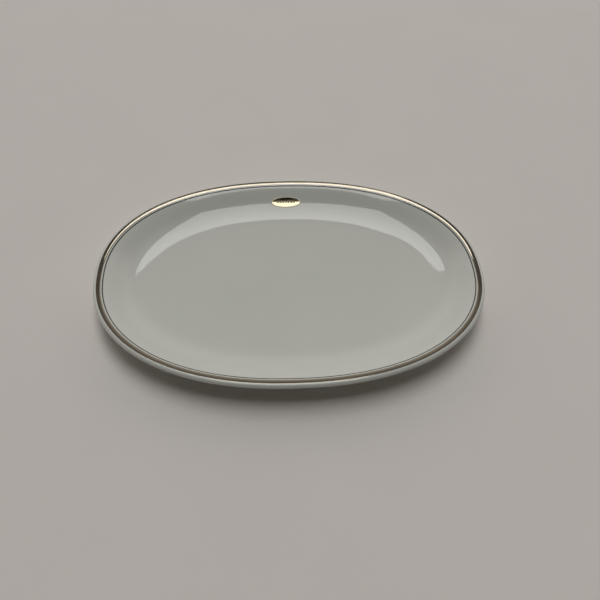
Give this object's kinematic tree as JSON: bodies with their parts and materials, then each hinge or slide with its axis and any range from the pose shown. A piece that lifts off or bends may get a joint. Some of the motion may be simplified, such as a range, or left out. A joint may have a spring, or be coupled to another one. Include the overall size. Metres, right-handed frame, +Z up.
{
  "type": "serving platter",
  "caption": "Oval coupe serving platter in white glazed porcelain, with a broad platinum band and a fine grey line round the rim, and an oval foil label on the wall.",
  "frame": {"origin": "middle of the oval, on the surface that the platter stands on", "axes": "+X along the oval's long axis, +Y along its short axis towards the side with the foil label, +Z up out of the well"},
  "size_m": [0.33, 0.229, 0.0256],
  "materials": {
    "porcelain": "clear high-gloss glaze over white porcelain",
    "bare_clay": "unglazed, ground flat, fine matt grain",
    "platinum": "fired-on platinum lustre, bright with faint brush marks",
    "grey_line": "fine hair line of dark grey enamel, glossy",
    "foil": "embossed pale gold foil on a thin adhesive paper"
  },
  "bodies": {
    "root": {"platter_body": "porcelain", "foot_ring": "bare_clay", "rim_band": "platinum", "verge_line": "grey_line", "foil_label": "foil"}
  },
  "joints": []
}
